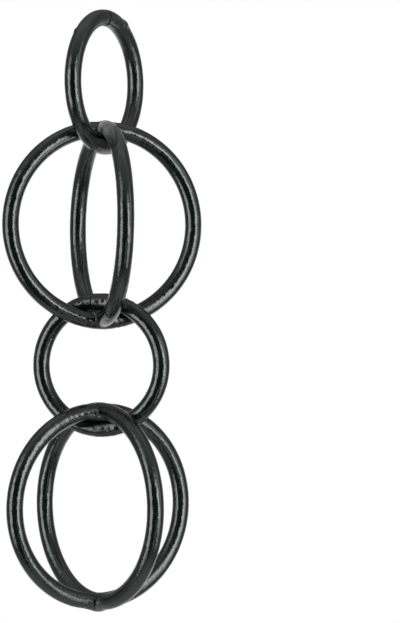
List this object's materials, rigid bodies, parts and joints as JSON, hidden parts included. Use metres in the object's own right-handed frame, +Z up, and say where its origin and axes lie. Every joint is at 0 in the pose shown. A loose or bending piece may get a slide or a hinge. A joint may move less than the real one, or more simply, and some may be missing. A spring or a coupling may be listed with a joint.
{
  "type": "rain chain",
  "caption": "Rain chain section of single and crossed double rings in black coated rod, hung from a gutter outlet to lead rainwater down.",
  "frame": {"origin": "hang point, on the inside of the top ring's rod at its top", "axes": "+Z up along the hanging chain, +X to the right and +Y away as seen in the picture"},
  "size_m": [0.0756, 0.0762, 0.2279],
  "materials": {
    "black_coating": "glossy black powder coat on aluminium rod"
  },
  "bodies": {
    "top_ring": {"top_ring": "black_coating"},
    "upper_double_ring": {"upper_right_half_hoop": "black_coating", "upper_back_half_hoop": "black_coating", "upper_left_half_hoop": "black_coating", "upper_front_half_hoop": "black_coating", "upper_top_weld": "black_coating", "upper_bottom_weld": "black_coating"},
    "middle_ring": {"middle_ring": "black_coating"},
    "lower_double_ring": {"lower_right_half_hoop": "black_coating", "lower_back_half_hoop": "black_coating", "lower_left_half_hoop": "black_coating", "lower_front_half_hoop": "black_coating", "lower_top_weld": "black_coating", "lower_bottom_weld": "black_coating"}
  },
  "joints": [
    {"name": "upper_double_ring_swing", "type": "hinge", "parent": "top_ring", "child": "upper_double_ring", "pos_m": [0, 0, -0.04507], "axis": [0.4848, 0.8746, 0], "range_deg": [-75, 75]},
    {"name": "middle_ring_swing", "type": "hinge", "parent": "upper_double_ring", "child": "middle_ring", "pos_m": [0, 0, -0.10372], "axis": [0.8746, -0.4848, 0], "range_deg": [-60, 60]},
    {"name": "lower_double_ring_swing", "type": "hinge", "parent": "middle_ring", "child": "lower_double_ring", "pos_m": [0, 0, -0.15197], "axis": [0.9848, -0.1736, 0], "range_deg": [-45, 45]}
  ]
}
